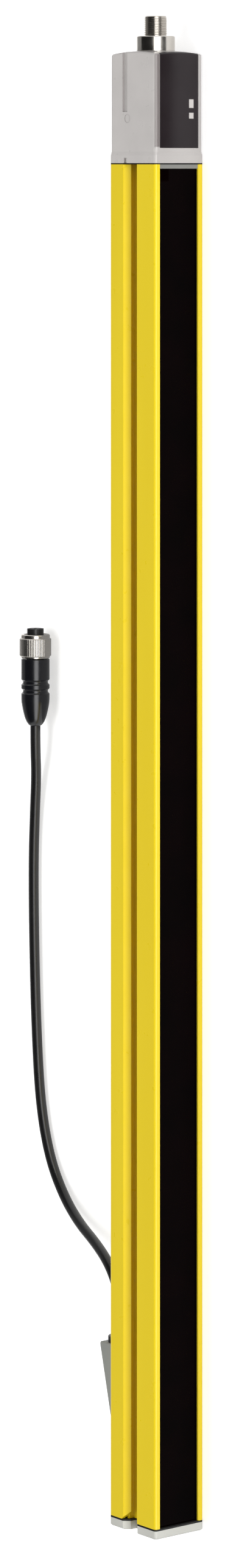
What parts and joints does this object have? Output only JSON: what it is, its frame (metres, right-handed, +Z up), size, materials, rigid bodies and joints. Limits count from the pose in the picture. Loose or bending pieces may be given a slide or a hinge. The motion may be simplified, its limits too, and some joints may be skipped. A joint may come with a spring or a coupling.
{
  "type": "safety light curtain",
  "caption": "Light curtain bar: extruded profile with dark light window and side slots, cast cap with display panel and threaded plug, end plate, cable outlet and short lead with a socket.",
  "frame": {"origin": "middle of the housing's footprint, on the side face that the bar lies on; the free lead and its socket are left out of the footprint", "axes": "+X along the bar from its lower end plate towards the cap and plug; the light window faces -Y and the cable outlet +Y; +Z up, out of the upper side face"},
  "size_m": [0.768, 0.1409, 0.0315],
  "materials": {
    "profile_yellow": "satin powder coat over extruded aluminium",
    "window_smoke": "polished smoked light window",
    "seal_black": "matt seal rubber",
    "stop_grey": "fine matt grey plastic",
    "carrier_black": "matt black moulding",
    "lens_smoke": "clear dark lenses",
    "board_green": "circuit board with solder mask",
    "chip_black": "moulded chip bodies",
    "plate_grey": "satin light grey",
    "screw_steel": "zinc plated",
    "cap_grey": "satin light grey over a casting",
    "display_black": "black display panel, soft gloss",
    "status_clear": "pale clear light windows",
    "nickel": "bright nickel plate",
    "insert_black": "matt black contact carrier",
    "contact_gold": "gold plated contacts",
    "wire_grey": "insulated wires",
    "outlet_grey": "grey moulded cover",
    "gland_black": "moulded strain relief",
    "cable_black": "smooth black jacket",
    "grip_black": "moulded grip"
  },
  "bodies": {
    "housing": {"profile": "profile_yellow", "front_window": "window_smoke", "window_seal_left": "seal_black", "window_seal_right": "seal_black", "window_stop": "stop_grey", "optics_carrier": "carrier_black", "lens_strip": "lens_smoke", "sensor_board": "board_green", "photodiodes": "chip_black", "control_board": "board_green", "board_chips": "chip_black", "board_terminals": "chip_black", "end_plate": "plate_grey", "end_gasket": "seal_black", "end_screws": "screw_steel", "top_cap": "cap_grey", "cap_gasket": "seal_black", "cap_screws": "screw_steel", "display_window": "display_black", "status_windows": "status_clear", "display_board": "board_green", "status_leds": "status_clear", "digit_display": "chip_black", "plug_shell": "nickel", "plug_insert": "insert_black", "plug_pins": "contact_gold", "plug_o_ring": "seal_black", "plug_lock_nut": "nickel", "plug_leads": "wire_grey", "cable_outlet": "outlet_grey", "outlet_gasket": "seal_black", "outlet_screws": "screw_steel", "cable_gland": "gland_black", "cable_stub": "cable_black", "cable_leads": "wire_grey", "cord": "cable_black", "cord_grip": "grip_black", "socket_insert": "insert_black", "socket_contacts": "contact_gold", "socket_seal": "seal_black"},
    "nut": {"coupling_nut": "nickel"}
  },
  "joints": [
    {"name": "nut_spin", "type": "hinge", "parent": "housing", "child": "nut", "pos_m": [0.0549, 0.10125, 0.00855], "axis": [1, 0, 0], "continuous": true}
  ]
}
